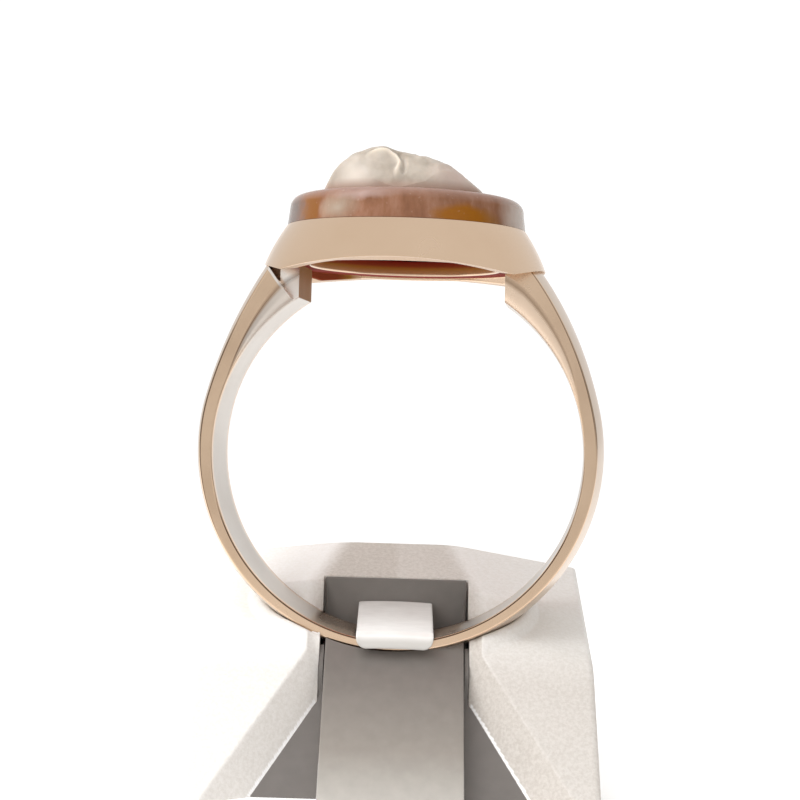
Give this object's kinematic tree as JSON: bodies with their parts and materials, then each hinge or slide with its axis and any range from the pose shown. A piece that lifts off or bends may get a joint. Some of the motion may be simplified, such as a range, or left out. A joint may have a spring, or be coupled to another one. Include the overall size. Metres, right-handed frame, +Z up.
{
  "type": "cameo ring on display stand",
  "caption": "Rose gold ring with a flared oval head holding a raised shell cameo, standing upright in a small white slotted display stand with a clip",
  "frame": {"origin": "on the surface the stand rests on, straight below the middle of the finger hole", "axes": "+X across the head of the ring, +Y away through the finger hole, +Z up"},
  "size_m": [0.0188, 0.0153, 0.0287],
  "materials": {
    "rose_gold": "polished rose gold, softly worn",
    "brown_shell": "polished brown layer of carved shell",
    "cream_shell": "satin cream layer of carved shell",
    "white_leatherette": "fine-grained white leatherette",
    "grey_card": "smooth satin grey card",
    "white_plastic": "smooth glossy white strip"
  },
  "bodies": {
    "root": {"ring_mount": "rose_gold", "cameo_ground": "brown_shell", "cameo_relief": "cream_shell", "stand_body": "white_leatherette", "stand_insert": "grey_card", "clip_tab": "white_plastic"}
  },
  "joints": []
}
